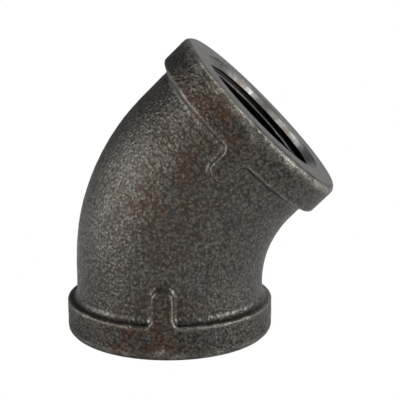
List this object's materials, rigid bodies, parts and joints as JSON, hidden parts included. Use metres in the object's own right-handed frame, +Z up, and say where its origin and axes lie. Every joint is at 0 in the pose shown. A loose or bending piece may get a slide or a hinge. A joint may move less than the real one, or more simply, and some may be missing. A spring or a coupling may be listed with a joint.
{
  "type": "pipe elbow",
  "caption": "Threaded pipe elbow with a 45 degree turn: a bent hollow iron casting with a thick band and short rounded ribs at each end, and a tapped pipe thread in each mouth.",
  "frame": {"origin": "centre of the lower end face, on the lower thread's axis", "axes": "+Z up the lower thread's axis into the elbow; the upper end leans to +X at 45 degrees, so the bend lies in the XZ plane"},
  "size_m": [0.0579, 0.045, 0.0638],
  "materials": {
    "cast_skin": "as cast, dark grey-brown, fine grain",
    "cut_thread": "tapped and chamfered, darkened"
  },
  "bodies": {
    "root": {"elbow_body": "cast_skin", "lower_band": "cast_skin", "upper_band": "cast_skin", "lower_thread": "cut_thread", "upper_thread": "cut_thread", "lower_rib_front": "cast_skin", "lower_rib_back": "cast_skin", "upper_rib_front": "cast_skin", "upper_rib_back": "cast_skin"}
  },
  "joints": []
}
